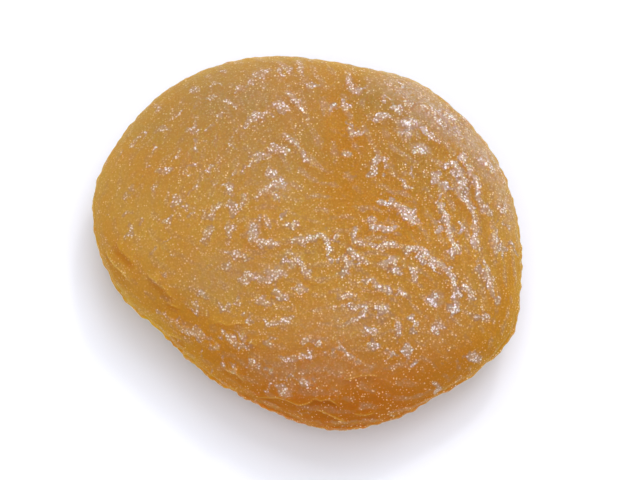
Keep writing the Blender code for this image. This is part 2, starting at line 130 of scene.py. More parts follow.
# Folds that stand up from the top skin, as lines along their crests
folds = {
    "topArches": {"height": 0.14, "width": 0.53, "lines": [
        [(-5.7, 13.5), (-5.3, 14.4), (-4.6, 15), (-3.6, 14.9)],
        [(-3.5, 16.3), (-2.7, 16), (-2.1, 15.2)], [(-1.4, 16.7), (-0.9, 15.9), (-0.6, 15)],
        [(-2.9, 13), (-2.1, 12.6), (-1.3, 11.9), (-0.8, 11), (-0.6, 10.6)],
        [(-3.9, 11.7), (-3, 11.5), (-2.2, 11.1), (-2.2, 10.5)],
        [(-5.8, 9.1), (-5.7, 9.7), (-5.2, 10.2), (-4.4, 10.6), (-3.6, 10.2)],
        [(-4, 7.3), (-3.3, 6.9), (-2.3, 6.9), (-2.2, 6.4)],
        [(-3.3, 8.9), (-2.4, 8.4), (-1.5, 7.7), (-0.9, 7), (-0.5, 6.2), (0.1, 5.6), (0.8, 5)],
        [(-5.8, 4.9), (-5.6, 5.5), (-4.9, 6.1), (-4.3, 6.5), (-3.7, 6.1), (-3.5, 5.4)],
        [(-6.7, 9.3), (-6.9, 8.5)], [(-6.6, 13.7), (-6.8, 13)], [(-6.8, 5.2), (-6.9, 4.4)],
        [(-6.1, 3), (-6.1, 1.2)],
    ]},
    "notch": {"height": 0.14, "width": 0.53, "lines": [
        [(3.3, 15.5), (3.5, 14.8), (3.7, 13.8), (3.9, 13.1), (4.5, 13.1), (5.1, 13.3)],
        [(3.1, 11.8), (3.3, 11)], [(3.5, 9.6), (3.7, 9), (4.2, 8.6), (5.1, 8.7)],
        [(5.8, 10.4), (6.6, 10.5), (7.5, 10.3)], [(7.9, 11.1), (8.5, 10.5)], [(2.8, 6.8), (4, 6.5)],
        [(5.9, 4), (5.8, 5.2), (6.2, 6.1), (6.7, 6.2), (7, 5.5), (6.9, 5)],
        [(8.4, 3.9), (9.2, 3.3)],
    ]},
    "upperRight": {"height": 0.22, "width": 0.6, "lines": [
        [(8.5, 12.2), (9.1, 11.6), (9.5, 11.3)],
        [(10.2, 11.5), (11, 11.5), (11.5, 11), (12, 9.9), (12.3, 9.3)],
        [(12.6, 11), (13.1, 10.5), (13.7, 10)], [(13.9, 11), (14.5, 10.4)],
        [(8.4, 9.5), (9.1, 9.8), (10, 9.7)], [(8.5, 8.6), (9.1, 8.5), (9.6, 8.4)],
        [(10.7, 8.7), (11.3, 8.3), (11.8, 7.8)], [(9.5, 7.1), (10.1, 6.9), (10.9, 6.8)],
        [(7.2, 1.8), (8.3, 1.6), (9.4, 0.8), (10.1, 0)], [(8, 1), (8.9, 0.5), (9.9, -0.4)],
    ]},
    "rightLong": {"height": 0.24, "width": 0.55, "lines": [
        [(11.7, 5.3), (12, 5.7), (12.6, 6), (13.2, 5.9), (13.7, 5.3), (14, 4.7), (14.1, 3.9),
         (13.7, 3.2), (13.8, 2.6), (14.4, 2.2), (14.8, 1.5), (15.1, 0.9), (15.1, 0), (15.1, -0.6),
         (15.3, -1.5), (15.2, -2.3), (15.3, -3.5), (15.2, -4.5)],
        [(13.6, 7.6), (14.1, 6.7), (14.5, 5.9), (14.8, 5.1), (15.4, 4.5), (15.5, 3.2), (15.6, 2.4),
         (16.1, 1.7), (16.3, 1)],
        [(11.9, 3.2), (12.1, 2.3), (12, 1.6), (12.5, 0.7), (12.6, 0), (12.8, -1.1), (13, -1.8),
         (13.6, -2.7), (14.1, -3.3)],
        [(16.1, 7), (16.3, 6.2), (16.8, 5.8)], [(17.2, 2.8), (17.8, 2.2), (18, 1.4)],
        [(17.1, 0.4), (16.8, -0.5), (17, -1.4), (17, -2.4), (17.4, -3.1)],
        [(15.8, -3.3), (16, -4.2), (16.4, -4.8), (16.5, -5.6), (16.7, -6.4), (16.9, -6.7)],
        [(14, -5.6), (14.5, -6.2), (15, -6.8)],
        [(9.1, -1.3), (9.6, -2.1), (10.3, -2.6), (11, -3.4), (11.9, -3.9), (12.6, -4.6), (13.1, -5.4),
         (13.3, -6.4), (13.4, -7)],
        [(8.5, -2.6), (9.4, -2.4), (10.1, -2.4)],
        [(10.1, -3.4), (10.8, -3.3), (11.2, -4), (11.3, -4.8)],
        [(9.1, -4.4), (9.6, -5.1), (9.5, -5.9)],
    ]},
    "centre": {"height": 0.2, "width": 0.58, "lines": [
        [(-4.7, 2), (-4.4, 2.8), (-3.7, 3.3), (-2.9, 3.6), (-2.3, 3)], [(-3.2, 2.6), (-3.1, 1.8)],
        [(-5.1, 0.5), (-4.2, 0.5), (-3.8, -0.1), (-3.5, -0.8)],
        [(-5.7, -0.4), (-5.4, -1.1), (-5.4, -1.6), (-4.5, -2), (-3.4, -2.1), (-2.7, -1.8),
         (-2.1, -1.5)],
        [(-1.9, -0.4), (-1.2, -0.4)],
        [(-1.6, -1.6), (-1.2, -1.8), (-0.5, -1.6), (0.3, -1.5), (1, -1.2), (1.5, -1.7), (1.7, -2.3),
         (1.7, -3.1), (1.8, -3.9)],
        [(-2.6, -3.4), (-1.9, -3), (-1.2, -3.4), (-0.7, -4), (-0.5, -4.8), (0.1, -5.2),
         (0.5, -5.1)],
        [(-1.7, -3.5), (-1.6, -4.5)],
        [(-5.7, -5.8), (-4.5, -5.4), (-3.6, -5.3), (-2.9, -5), (-2.1, -4.9)],
        [(-4.5, -4.7), (-3.3, -4.8), (-2.3, -4.7)], [(-6.3, -5.4), (-5.1, -5.2)],
        [(2.2, -1.1), (2.6, -1.6)], [(2.8, -3), (3.4, -3.9), (3.3, -4.7)],
        [(4.1, -0.3), (3.9, -1.2), (4.1, -1.8), (5, -2.1), (5.9, -2.6)],
        [(6, -2.2), (7, -2.2), (8.2, -2)], [(5.1, -0.4), (6, -0.5), (7, -0.7), (8.2, -0.6)],
        [(5.6, 0.2), (6.2, 0.4)], [(3, -2.1), (3.7, -2.7), (4.5, -3.3), (5.1, -3.7), (5.5, -4.2)],
        [(6, -4.3), (6.9, -3.8), (7.6, -3.7), (8.2, -3.9)], [(7.4, -4.5), (8.1, -4.7)],
    ]},
    "centreLeft": {"height": 0.14, "width": 0.53, "lines": [
        [(-7.3, -2.8), (-6.6, -3), (-5.2, -3.5)], [(-7.9, -4.5), (-7.3, -3.7)],
        [(-7.7, -1.6), (-7.3, -0.5)], [(-9.9, -1.2), (-9, -0.6)],
    ]},
    "below": {"height": 0.17, "width": 0.55, "lines": [
        [(4.4, -5.9), (5.4, -5.5), (6, -6), (6.7, -6.1), (7.2, -6.8)], [(8.1, -6.4), (8.8, -7.1)],
        [(2.2, -6.9), (3, -6.9), (4.3, -6.9)],
        [(3.1, -7.8), (4, -7.9), (4.9, -8), (4.8, -8.7), (3.8, -9.1), (3.1, -9.3)],
        [(6, -8.6), (6.5, -7.9), (7, -8.2), (6.8, -8.7)],
        [(4.3, -10.2), (5.3, -10.1), (6.5, -10.1)], [(8.1, -8.8), (8, -9.7), (8.2, -10.8)],
        [(-1.6, -6.2), (-0.8, -6.3), (-0.2, -6.2)], [(-3.6, -6.2), (-3, -6.6), (-2.3, -6.9)],
        [(-5.3, -7.4), (-4.7, -7.2), (-4.2, -7.5), (-3.4, -7.5)],
        [(-4.4, -9.3), (-3.6, -9.4), (-2.5, -9.2), (-1.5, -9.4)],
        [(-4.4, -10.9), (-3.6, -11.1), (-3.3, -10.9)],
        [(-2.9, -12.3), (-2, -12.5), (-1.1, -12.4), (-0.2, -12.1)], [(-0.8, -10.9), (0, -10.8)],
        [(0.5, -11.1), (1.1, -11.4)], [(2.9, -11.7), (3.6, -12.4), (4.3, -12.7), (5, -13.2)],
        [(7.2, -12.1), (7.7, -12.2)], [(9.4, -9.4), (10.1, -9.3)],
        [(12.6, -7.1), (13.4, -7.4), (12.9, -8.5)], [(14.1, -12.1), (14.7, -11.9), (15.2, -12)],
        [(-10.9, -7.2), (-10.5, -7.2), (-10, -7.9)],
    ]},
    "knob": {"height": 0.12, "width": 1.19, "lines": [
        [(11.1, -7), (11.5, -7.2)],
    ]},
    "lowerEdge": {"height": 0.24, "width": 0.55, "lines": [
        [(-13.8, -7.7), (-13.2, -7.9), (-12.4, -8.5), (-11.7, -9.1), (-11, -9.5), (-10.2, -9.7),
         (-9.9, -10.1), (-9.3, -10.7)],
        [(-9, -11.1), (-8.1, -11.1)], [(-7.8, -10.1), (-7.3, -10.5), (-6.9, -10.9), (-6.3, -11.4)],
        [(-6.4, -10.1), (-6, -10.5)], [(-7, -12.9), (-6.7, -13.3)], [(-5.6, -12.6), (-4.8, -12.6)],
        [(-3.7, -13.3), (-3.4, -13.5)], [(-2.9, -14.7), (-2.4, -15.1), (-1.8, -15.2), (-1.2, -15.4)],
        [(-1.3, -14.2), (-0.3, -14.6), (0, -14.9)],
    ]},
}

# Glossy patches on the swellings between the creases: x, y, half their length, half their
# width and the bearing they run along
shine = [
    # the arches of the upper left and the middle
    (-5.5, 13.9, 0.5, 0.3, 70), (-4.4, 14.9, 0.9, 0.4, 10), (-6.8, 13.2, 0.6, 0.2, 75),
    (-2.4, 15.4, 0.7, 0.4, -50), (-0.9, 15.4, 0.6, 0.3, -65), (-0.9, 11.2, 0.6, 0.2, -60),
    (-2.7, 11.2, 1, 0.5, -25), (-5.7, 9.7, 0.6, 0.3, 60), (-4.4, 10.5, 0.9, 0.4, 0),
    (-6.8, 8.9, 0.6, 0.2, 80), (-2.8, 7, 0.9, 0.5, -25), (-5.8, 5.3, 0.6, 0.3, 70),
    (-4.6, 6.2, 0.9, 0.4, 10), (-7, 4.7, 0.6, 0.2, 80), (-4.6, 2.5, 0.7, 0.3, 62),
    (-3.7, 3.2, 0.6, 0.5, 20), (-2.7, 3.7, 0.6, 0.4, 0), (-3, 2.3, 0.7, 0.3, 80),
    (-7.6, 3.4, 0.6, 0.4, 0), (-7.4, 2.8, 0.5, 0.3, -20), (-9.2, 3.9, 0.6, 0.1, 0),
    (-6.2, 2.1, 0.8, 0.2, 85), (-4.6, 0.4, 0.6, 0.3, 0), (-3.9, -0.3, 0.6, 0.2, -50),
    (-5.3, -0.8, 0.7, 0.5, 75), (-1.7, -0.3, 0.5, 0.4, 0), (-2.4, 0.7, 0.5, 0.2, 70),
    (-3.9, -2, 1, 0.3, 5), (-0.8, -1.8, 0.8, 0.3, 5), (-9.2, 0.8, 0.8, 0.5, 0),
    (-8.6, 1.6, 0.6, 0.4, 80), (-7.1, 1.3, 0.6, 0.6, 0), (-9.4, -1.1, 1, 0.5, 45),
    (-7.4, -1, 1, 0.5, 85), (-3.4, 4.6, 0.7, 0.5, -40),
    # small dabs on the left
    (-16.5, 3.7, 0.5, 0.4, 0), (-16.5, -0.3, 0.6, 0.4, 60), (-16.8, 2.8, 0.4, 0.3, 0),
    (-16.5, 7.9, 0.6, 0.3, 0), (-16.3, 8.5, 0.4, 0.2, 0), (-15.5, 9.1, 0.4, 0.2, -60),
    (-14.3, 11.9, 0.5, 0.3, -60), (-13.7, 9.5, 0.6, 0.5, 0), (-13.6, 5.2, 0.6, 0.4, 0),
    (-12.1, 10.9, 0.6, 0.3, 60), (-14.3, 7.4, 0.4, 0.3, -60), (-12.2, 6.6, 0.6, 0.3, 60),
    (-15.6, 4.8, 0.4, 0.2, -60), (-10.6, 7.6, 0.6, 0.3, 70), (-11, 9.1, 0.5, 0.4, 0),
    (-10.8, 9.7, 0.4, 0.2, 0), (-11, 5.5, 0.4, 0.2, 0), (-11.2, 4.7, 0.5, 0.2, 0),
    (-10.7, 3.4, 0.6, 0.3, 70), (-9.2, 9.4, 0.7, 0.4, 35), (-9.2, 5.2, 0.7, 0.4, 35),
    (-9.1, 8, 0.6, 0.1, 0), (-9.2, 13.8, 0.6, 0.4, 50), (-8.6, 14.2, 0.4, 0.3, 0),
    (-9.2, 12.6, 0.5, 0.2, 0), (-7.4, 11.6, 0.6, 0.3, -30), (-7.3, 7.4, 0.6, 0.3, -30),
    (-12.2, 2.2, 0.6, 0.4, 60), (-14.4, 3.4, 0.4, 0.3, -60), (-12.9, 0.4, 0.5, 0.3, 0),
    (-15.5, 0.6, 0.4, 0.2, -60), (-14.4, -2.4, 0.5, 0.3, 60), (-13.1, -1.4, 0.4, 0.2, 30),
    (-12.7, -2.8, 0.4, 0.2, 0), (-13.5, -4.3, 0.5, 0.3, 0), (-11.5, 1.5, 0.7, 0.1, -5),
    (-8.3, 15.3, 0.4, 0.2, 0), (-9.9, 15, 0.6, 0.2, 15), (-10.7, 11.8, 0.4, 0.2, 60),
    (-10.9, 13.6, 0.5, 0.4, 0), (-8.3, 10.5, 0.5, 0.2, 20), (-18.9, 1.6, 0.4, 0.2, 0),
    (-16.8, 1.4, 0.4, 0.3, 0), (-10.9, 0.8, 0.4, 0.2, 0), (-15, 5.6, 0.3, 0.2, 0),
    (-17.7, 7.6, 0.3, 0.2, 0),
    # left of the middle
    (-7, -3, 0.9, 0.3, -10), (-5.5, -3.5, 0.6, 0.2, -15), (-7.6, -4.2, 0.6, 0.3, 45),
    (-5.4, -5.1, 1, 0.6, 0), (-3.2, -4.7, 1.1, 0.5, 20), (-3.6, -5.4, 0.7, 0.3, 0),
    (-1.8, -3.5, 0.8, 0.5, -15), (-0.5, -4.3, 0.7, 0.2, -50), (-0.8, -6.2, 0.8, 0.4, 0),
    (-4, -3.1, 0.5, 0.1, 30), (-2.5, -6.9, 0.4, 0.3, 0), (-3.2, -6.2, 0.5, 0.2, -50),
    (-4.6, -7.2, 0.6, 0.3, 35), (-3.9, -7.5, 0.6, 0.1, 5), (-6.6, -7.2, 0.5, 0.3, 0),
    (-7.6, -7.8, 0.7, 0.4, -20), (-10.4, -7.6, 0.6, 0.2, -55), (-9.7, -6.5, 0.6, 0.3, 0),
    (-6.3, -8.2, 0.2, 0.2, 0), (-7.4, -4, 0.4, 0.3, 0),
    # along the lower left edge
    (-13.7, -7.7, 0.5, 0.2, -10), (-12.4, -8.4, 0.4, 0.3, -30), (-11.3, -9.2, 0.9, 0.3, -35),
    (-9.8, -10.1, 0.7, 0.3, -45), (-8.8, -10.9, 0.6, 0.3, -30), (-7.1, -10.4, 0.7, 0.2, -45),
    (-8, -10, 0.5, 0.2, 0), (-6.4, -10.1, 0.6, 0.2, -55), (-3.7, -10.8, 0.6, 0.3, 10),
    (-5.5, -8.9, 0.4, 0.2, -60), (-2.2, -9, 0.7, 0.3, 0), (-4, -9.2, 0.5, 0.2, -30),
    (-2.4, -12.3, 0.6, 0.3, 0), (-0.4, -12.2, 0.7, 0.4, 20), (-5.3, -12.7, 0.6, 0.3, 0),
    (-6.9, -12.9, 0.5, 0.3, -30), (-7.9, -12.3, 0.4, 0.3, -40), (-3.7, -13.2, 0.6, 0.3, -45),
    (-9, -12.8, 0.4, 0.2, -60), (-2.3, -14.9, 0.9, 0.4, -30), (-4, -14.7, 0.6, 0.1, 5),
    (-9.9, -11.5, 0.5, 0.2, -60), (-1.7, -14.1, 0.6, 0.1, 0), (-0.2, -14.3, 0.8, 0.1, -20),
    (-5.9, -11.3, 0.4, 0.3, 0),
    # right of the middle
    (1.8, -2.9, 0.8, 0.3, -80), (2.4, -1.8, 0.6, 0.2, -50), (3.9, -3.4, 0.8, 0.3, -52),
    (3.1, -4.8, 0.6, 0.4, 10), (2.9, -3.5, 0.5, 0.3, 60), (4.1, -1, 0.7, 0.2, 85),
    (5.6, -2.1, 1.1, 0.4, -15), (7.5, -2.2, 0.8, 0.3, 0), (7, -3.7, 0.9, 0.2, 5),
    (7.7, -4.7, 0.6, 0.3, -20), (9.4, -4.9, 0.6, 0.2, -58), (9.4, -2.6, 0.8, 0.2, 0),
    (10.4, -3.3, 0.8, 0.4, 0), (11.3, -4.5, 0.6, 0.3, -55), (12.6, -4.6, 1.1, 0.3, -50),
    (13.4, -6.6, 0.7, 0.3, 85), (13, -8, 0.6, 0.5, 45), (14.4, -6.3, 0.7, 0.3, -60),
    (11.4, -7.1, 0.7, 0.6, 0), (5.3, -5.7, 0.7, 0.2, 20), (6.8, -6.3, 0.9, 0.4, -45),
    (8.4, -6.6, 0.6, 0.3, -50), (3.6, -6.9, 1, 0.2, 0), (4.8, -8.2, 0.7, 0.6, 60),
    (3.6, -7.8, 0.7, 0.2, 0), (3.5, -9.1, 0.7, 0.3, 15), (6.6, -8.1, 0.7, 0.4, 60),
    (5.4, -10.1, 1, 0.3, 5), (8, -9.9, 1, 0.2, 85), (9, -9, 0.6, 0.3, -20),
    (9.7, -9.6, 0.6, 0.3, 60), (7.6, -12.1, 0.6, 0.3, 0), (8.9, -11.7, 0.7, 0.4, -40),
    (5.7, -11.2, 0.6, 0.4, 0), (9.4, -12.8, 0.6, 0.3, 0), (3.8, -12.3, 0.8, 0.3, -40),
    (2.8, -11.7, 0.4, 0.2, 0), (0.8, -11.3, 0.5, 0.3, -40), (1.9, -11.9, 0.6, 0.2, 15),
    (-0.1, -10.9, 0.6, 0.2, 0), (14.9, -11.9, 0.6, 0.3, 10), (11.9, -9.5, 0.9, 0.6, 30),
    (6.9, 2, 1, 0.3, 0), (9.2, 0.8, 1.2, 0.5, -42), (5.7, 0.3, 0.6, 0.3, 45),
    (7.1, -0.6, 1.2, 0.2, -5), (6.6, 10.2, 0.8, 0.3, 5), (5.8, 4.8, 0.8, 0.3, 70),
    (6.5, 6, 0.6, 0.4, 10), (7, 5.2, 0.4, 0.4, 0), (8.8, 3.6, 0.4, 0.5, 0), (9.3, 4.9, 0.6, 0.2, -60),
    (11.7, -14.7, 0.6, 0.3, -30), (15.6, -8.6, 0.8, 0.4, 0),
    # the upper right and the right edge
    (3.6, 14.5, 0.9, 0.3, -78), (4.5, 13.1, 0.7, 0.3, 20), (0.2, 13.6, 0.7, 0.4, 0),
    (3.1, 11.5, 0.7, 0.4, -75), (2.1, 11.4, 0.5, 0.3, 90), (3.6, 9.3, 0.6, 0.2, -70),
    (4.5, 8.7, 0.9, 0.3, -3), (7.1, 12.1, 0.6, 0.2, -10), (8.1, 11.1, 0.5, 0.4, -30),
    (9.2, 11.7, 0.6, 0.2, -55), (11, 11.3, 0.9, 0.3, -12), (11.7, 10.5, 0.7, 0.2, -60),
    (12.1, 9.6, 0.6, 0.2, -70), (9.2, 9.6, 1, 0.4, 0), (8.9, 8.7, 0.8, 0.3, -8),
    (10.9, 8.9, 1, 0.3, -30), (11.5, 8.2, 0.6, 0.2, 0), (10.2, 7, 0.7, 0.5, -15),
    (13.1, 10.7, 0.9, 0.3, -45), (8.6, 13.8, 0.5, 0.4, 0), (14.2, 6.5, 0.6, 0.3, -60),
    (14.7, 5.4, 0.8, 0.3, -60), (15.4, 3.9, 0.7, 0.3, -75), (16.2, 1.5, 0.6, 0.5, 80),
    (16.8, 6, 0.6, 0.4, -50), (15.9, 6.6, 0.5, 0.3, -70), (12.7, 5.8, 0.8, 0.3, 10),
    (13.6, 4.9, 0.7, 0.4, -65), (14, 3.8, 0.9, 0.5, -80), (11.7, 4.4, 0.7, 0.5, -60),
    (12.7, 3.6, 0.7, 0.2, -25), (12, 2.1, 1.3, 0.2, -85), (14.5, 2.2, 0.7, 0.3, -55),
    (15.2, 0.8, 0.9, 0.3, -80), (12.8, -0.8, 0.6, 0.4, 60), (11.6, -0.7, 0.5, 0.3, 0),
    (14, -0.4, 0.6, 0.4, 70), (13.3, -2.5, 0.8, 0.6, 60), (15.2, -1.1, 1.7, 0.4, -88),
    (17, -0.4, 1.2, 0.3, 82), (17.8, 1.7, 0.8, 0.2, -65), (18.2, 0.2, 0.5, 0.2, -70),
    (18.9, -1.5, 0.7, 0.3, -80), (17.7, -1.9, 0.6, 0.3, 80), (15.3, -4.2, 0.5, 0.3, 90),
    (16, -3.6, 0.7, 0.3, -70), (16.5, -5.4, 0.9, 0.3, -80), (16.9, -6.7, 0.6, 0.3, -60),
    (12.3, 0.9, 0.6, 0.3, -60),
]

# Where the skin is painted with the window's grey-lilac reflection (painted sheen; the strongest rows are
# painted highlights), and where it is a deeper orange: the same five numbers, then how strongly
paintedSheens = [
    (12.6, 10.2, 5, 1.3, -40, 0.95), (16.3, 6.5, 2.8, 1.1, -60, 0.8), (17.9, 3, 2.4, 0.8, -78, 0.6),
    (9.2, 13.2, 2.8, 1.3, -25, 0.75), (9.2, 9.7, 0.9, 0.4, 0, 1.6), (9, 8.8, 0.8, 0.3, -8, 1.2),
    (10.2, 7.1, 0.7, 0.45, -15, 1.4), (11.4, -7.1, 0.6, 0.55, 0, 1.5), (14.1, 3.8, 1.4, 0.5, -78, 0.6),
    (-3.2, 3.2, 1.3, 0.9, 20, 0.45), (-3.4, -4.6, 1.7, 0.6, 15, 0.45), (-5.3, -0.8, 0.7, 0.5, 75, 0.6),
    (-4.5, 12.5, 6, 3.4, 0, 0.15), (-5.5, 7, 5, 4, 0, 0.1), (-2, -13.5, 3, 1.2, -15, 0.25),
    (-7.5, -4.5, 3.5, 2, 0, 0.2), (3, -9.5, 4.5, 2, 10, 0.22), (1.5, -13.5, 4.5, 1.2, 0, 0.22),
    (11.5, -10, 3, 1.6, 40, 0.15),
]
warmSpots = [
    (2.8, 9.5, 5, 1.8, -80, 0.8), (3.4, 3.5, 3.5, 2.6, -70, 0.8), (7.5, 1, 5, 3, -20, 0.8),
    (-10.5, -9.5, 7, 1.8, -38, 0.8), (-17.5, -2.5, 2.5, 0.9, -55, 0.5),
    (12, 8.5, 3.5, 1.6, -50, 0.4), (14, 2, 4, 2, -80, 0.35), (14.5, -12, 4, 1.2, 40, 0.8),
    (18.2, -6.5, 4.5, 1.3, 75, 0.8),
    (-4, -5.5, 6, 1.6, -10, 0.3), (8, -7, 4, 2.4, 0, 0.3),
]

# Creases that cut into the top skin
creases = {
    "trough": {"height": -0.28, "width": 2.38, "lines": [
        [(3.6, 16.8), (2.6, 12), (3, 7.5), (3.4, 3.4), (3.2, 0.5)],
    ]},
    "edgeGrooves": {"height": -0.19, "width": 0.5, "lines": [
        [(18.3, -2.5), (18.9, -3.2)],
    ]},
    "belowCentre": {"height": -0.14, "width": 0.88, "lines": [
        [(-5, -6.5), (-2, -7.8), (1.5, -6.2)],
    ]},
}

ledgeForm = {
    "turn": 0.28,           # how far across the skin takes to step up
    "brinkPlace": 0.10,
    "brinkWidth": 0.11,
    "endShare": 0.2,
}

# Thin lips where the top skin folds over what lies outside it. Each line keeps the fruit's
# middle on its left; stain is how orange the skin below it is at the line's start and end,
# and stainReach is how far down that goes.
ledges = {
    "outerLip": {
        "height": 0.19, "reach": 1.3, "pale": 0.8, "stain": (0.35, 0.35), "stainReach": 1.2,
        "lines": [
            [(-18.9, -1), (-18.7, -2.1), (-18.3, -2.8), (-17.9, -3.3), (-17.4, -3.8),
             (-16.9, -4.4), (-16.2, -5.2)],
        ],
    },
    "innerGroove": {
        "height": 0.17, "reach": 1, "pale": 0.1, "stain": (0.45, 0.6), "stainReach": 0.4,
        "lines": [
            [(-17.9, -1), (-17.7, -1.6), (-17.3, -2.2), (-16.7, -2.8), (-16.4, -3.1), (-15.9, -3.2)],
            [(-14.8, -4.6), (-14.1, -5.2), (-13.4, -5.8), (-13, -6.3), (-12.3, -6.6)],
        ],
    },
    "thinFolds": {
        "height": 0.14, "reach": 0.7, "pale": 0.55, "stain": (0.35, 0.35), "stainReach": 0.35,
        "lines": [
            [(-14.9, -4.5), (-14.4, -4.9), (-13.9, -5.3)],
            [(-13.2, -6.9), (-12.7, -7.1), (-11.8, -7.6)],
            [(-9.4, -9), (-8.3, -9), (-7.5, -9.3), (-6.5, -9.2), (-5.6, -9.4)],
            [(-5.8, -10.7), (-4.8, -11.3)],
            [(-8.2, -12.5), (-7.5, -13.1), (-6.8, -13.3), (-6.4, -13.7), (-5.9, -14.3)],
            [(2.7, -14.5), (3.8, -14.3), (4.5, -14.1), (5.5, -14), (6.5, -14.1)],
            [(3.6, -17.1), (4.6, -17.2), (5.2, -17.2), (6.2, -16.9)],
        ],
    },
    "rimLine": {
        "height": 0.12, "reach": 0.8, "pale": 0.8, "stain": (0.8, 0.5), "stainReach": 0.8,
        "lines": [
            [(-13.2, -9.2), (-12.7, -9.5), (-12.2, -9.8), (-11.4, -10.2)],
        ],
    },
    "upperLip": {
        "height": 0.24, "reach": 1.5, "pale": 0.6, "stain": (0.25, 1), "stainReach": 2.6,
        "lines": [
            [(-6.1, -14.5), (-5, -15.2), (-4.1, -15.4), (-2.7, -15.6), (-1.7, -16), (-0.9, -16.3),
             (0, -16.2), (0.5, -15.9), (1, -16.1), (1.6, -16), (2.1, -16.2), (2.7, -16.6),
             (3.4, -17)],
        ],
    },
    "secondLip": {
        "height": 0.12, "reach": 0.6, "pale": 0.8, "stain": (1, 1), "stainReach": 1.4,
        "lines": [
            [(0.4, -16.6), (0.7, -16.8), (1.3, -17), (2, -17.3), (2.8, -17.6), (3.6, -17.8)],
        ],
    },
}

# Wrinkle country: x, y, the wrinkles' bearing, spacing, height and the country's reach
wrinkles = {
    "seed": 7,
    "reach": 0.75,          # of a patch of wrinkles, in its own spacings
    "cutOff": 2.6,          # reaches from its middle, past which it does nothing
    "steepness": 2.2,
    "crestPower": 1.4,      # more makes the crests narrower than the valleys
    "meanCrest": 0.4,
    "patches": 4200,
    "wander": 0.35,         # how far, in radians, each strays from its country's bearing
    "finePatches": 5200,
    "fineWander": 0.8,
    "fineSpacing": 0.62,
    "fineHeight": 0.008,
    "top": [
        (-13, 6, 70, 1.5, 0.015, 6), (-12, -3, 150, 1.6, 0.01, 4.5),
        (-4.5, 10, 140, 1.3, 0.02, 4), (3, 9, 90, 1.8, 0.01, 3),
        (-3, -3, 10, 1.3, 0.02, 4.5), (6, -2, 170, 1.3, 0.02, 4),
        (10.5, 7.5, 150, 1.3, 0.025, 3.5), (15, 0, 93, 1.3, 0.025, 4),
        (12, -7, 120, 1.2, 0.025, 3.5), (4, -9, 5, 1.3, 0.02, 4),
        (-6, -10, 155, 1.4, 0.02, 3.5), (2, -15.5, 5, 1.5, 0.015, 4),
    ],
    "under": [
        (-9, 0, 100, 1.9, 0.15, 8), (8, 2, 60, 1.9, 0.15, 8),
        (0, -10, 20, 1.8, 0.15, 6), (0, 11, 170, 1.8, 0.15, 6),
    ],
}


def aroundEdge(table, angle):
    # the smooth closed curve through (degrees, millimetres) pairs, in metres
    at = np.radians([row[0] for row in table])
    value = np.array([row[1] for row in table]) * mm
    at = np.concatenate([at - 2 * np.pi, at, at + 2 * np.pi])
    value = np.tile(value, 3)
    slope = np.gradient(value, at)
    i = np.clip(np.searchsorted(at, angle) - 1, 0, len(at) - 2)
    gap = at[i + 1] - at[i]
    t = (angle - at[i]) / gap
    start = (2 * t**3 - 3 * t**2 + 1) * value[i] + (t**3 - 2 * t**2 + t) * gap * slope[i]
    end = (3 * t**2 - 2 * t**3) * value[i + 1] + (t**3 - t**2) * gap * slope[i + 1]
    return start + end


def smoothStep(x):
    x = np.clip(x, 0, 1)
    return x * x * (3 - 2 * x)


def roundOff(cube):
    # a cube's points moved out to a ball, evenly spread, then crowded towards its top
    x2, y2, z2 = (cube**2).T
    ball = cube * np.sqrt(np.stack([
        1 - y2 / 2 - z2 / 2 + y2 * z2 / 3,
        1 - z2 / 2 - x2 / 2 + z2 * x2 / 3,
        1 - x2 / 2 - y2 / 2 + x2 * y2 / 3,
    ], axis=1))
    ball /= np.linalg.norm(ball, axis=1)[:, None]
    polar = np.arccos(np.clip(ball[:, 2], -1, 1))
    moved = 2 * np.arctan(apricot["topShare"] * np.tan(np.minimum(polar, np.pi - 1e-6) / 2))
    across = np.hypot(ball[:, 0], ball[:, 1]) + 1e-12
    return np.stack([
        ball[:, 0] / across * np.sin(moved), ball[:, 1] / across * np.sin(moved), np.cos(moved),
    ], axis=1)


def pillow(ball):
    # the plain fruit: directions from its middle turned into points of its skin
    full = apricot["plumpness"]
    across = np.hypot(ball[:, 0], ball[:, 1])
    angle = np.arctan2(ball[:, 1], ball[:, 0]) % (2 * np.pi)
    fullness = (across**full + np.abs(ball[:, 2]) ** full) ** (-1 / full)
    reach = across * fullness
    rise = ball[:, 2] * fullness
    edge = aroundEdge(apricot["edge"], angle)
    tall = np.where(rise > 0, apricot["crown"], apricot["belly"]) * mm
    height = tall * rise + aroundEdge(apricot["edgeLift"], angle) * reach**2
    return np.stack([edge * reach * np.cos(angle), edge * reach * np.sin(angle), height], 1)


def topPoint(x, y):
    # the point of the plain fruit's top skin above (x, y)
    full = apricot["plumpness"]
    angle = np.arctan2(y, x) % (2 * np.pi)
    reach = np.minimum(np.hypot(x, y) / aroundEdge(apricot["edge"], angle), 0.995)
    rise = (1 - reach**full) ** (1 / full)
    lift = aroundEdge(apricot["edgeLift"], angle) * reach**2
    return np.stack([x, y, apricot["crown"] * mm * rise + lift], 1)


def smoothLine(points, steps=6):
    # a curve through points given in millimetres, laid on the top skin
    p = np.array(points) * mm
    p = np.concatenate([[2 * p[0] - p[1]], p, [2 * p[-1] - p[-2]]])
    t = np.linspace(0, 1, steps, endpoint=False)[:, None]
    line = [
        0.5 * (2 * b + (c - a) * t + (2 * a - 5 * b + 4 * c - d) * t**2
               + (3 * b - a - 3 * c + d) * t**3)
        for a, b, c, d in zip(p, p[1:], p[2:], p[3:])
    ]
    line = np.concatenate(line + [p[-2:-1]])
    return topPoint(line[:, 0], line[:, 1])


